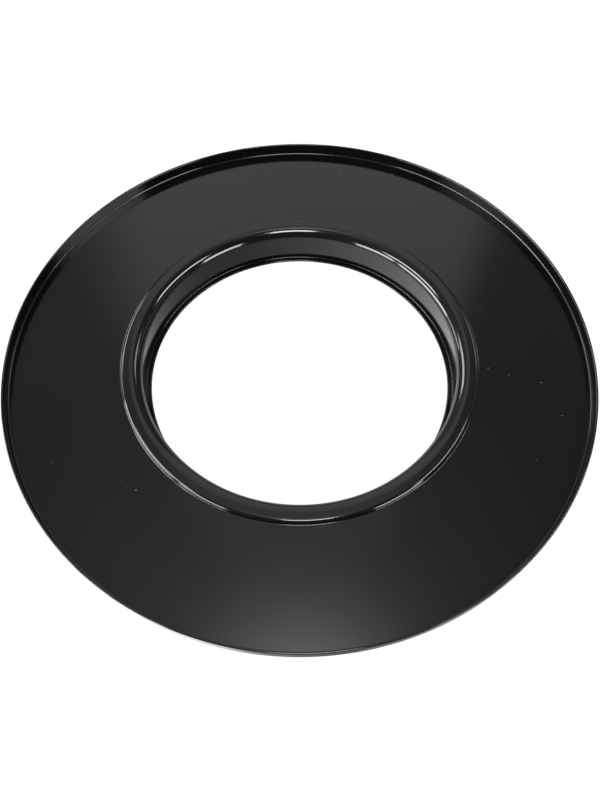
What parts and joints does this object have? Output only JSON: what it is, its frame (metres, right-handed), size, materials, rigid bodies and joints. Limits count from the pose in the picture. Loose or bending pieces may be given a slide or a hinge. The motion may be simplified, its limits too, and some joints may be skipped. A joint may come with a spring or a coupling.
{
  "type": "pipe wall flange",
  "caption": "Round trim flange for a pipe: a flat plate with an upturned rim, a raised bead and a short collar with an inward lip, in gloss black.",
  "frame": {"origin": "on the pipe's axis, at the collar's rear end, which is the lowest plane of the part", "axes": "+Z along the pipe's axis, from the collar's rear end towards the plate's rim and bead; X and Y are any two directions across it, as the part is round"},
  "size_m": [0.29, 0.29, 0.0272],
  "materials": {
    "gloss_enamel": "gloss black enamel",
    "ground_coat": "matt black ground coat"
  },
  "bodies": {
    "root": {"face_plate": "gloss_enamel", "collar": "gloss_enamel", "retaining_ring": "ground_coat"}
  },
  "joints": []
}
